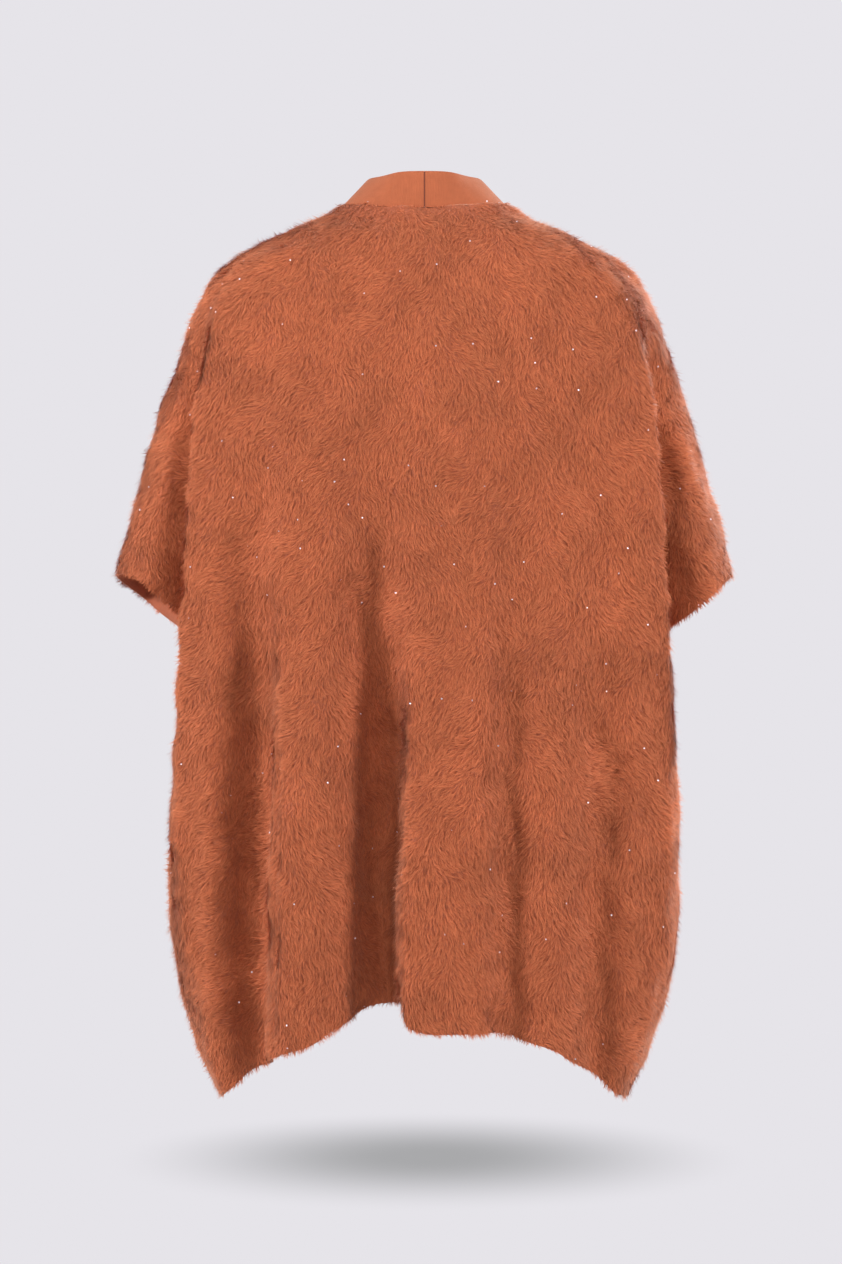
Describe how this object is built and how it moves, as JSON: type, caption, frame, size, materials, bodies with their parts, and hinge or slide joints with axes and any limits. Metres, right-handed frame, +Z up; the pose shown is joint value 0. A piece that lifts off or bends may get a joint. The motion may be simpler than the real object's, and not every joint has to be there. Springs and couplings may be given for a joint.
{
  "type": "shawl cape",
  "caption": "Open-front shawl cape in long-pile knit with a smooth neck band and short sleeves cut in one, hollow as if worn.",
  "frame": {"origin": "between the shoulders, level with the points where the shoulders meet the neck, where the wearer's shoulders carry the cape", "axes": "+Z up, -Y out of the wearer's chest, +X to the wearer's left"},
  "size_m": [0.654, 0.3242, 0.9539],
  "materials": {
    "pile_knit": "rust-coloured long-pile knit, soft sheen, small sequins scattered in the pile",
    "fine_knit": "smooth fine-gauge knit in the same rust colour, matt"
  },
  "bodies": {
    "root": {"back_panel": "pile_knit", "front_panel_left": "pile_knit", "front_panel_right": "pile_knit", "neck_band_left": "fine_knit", "neck_band_right": "fine_knit"}
  },
  "joints": []
}
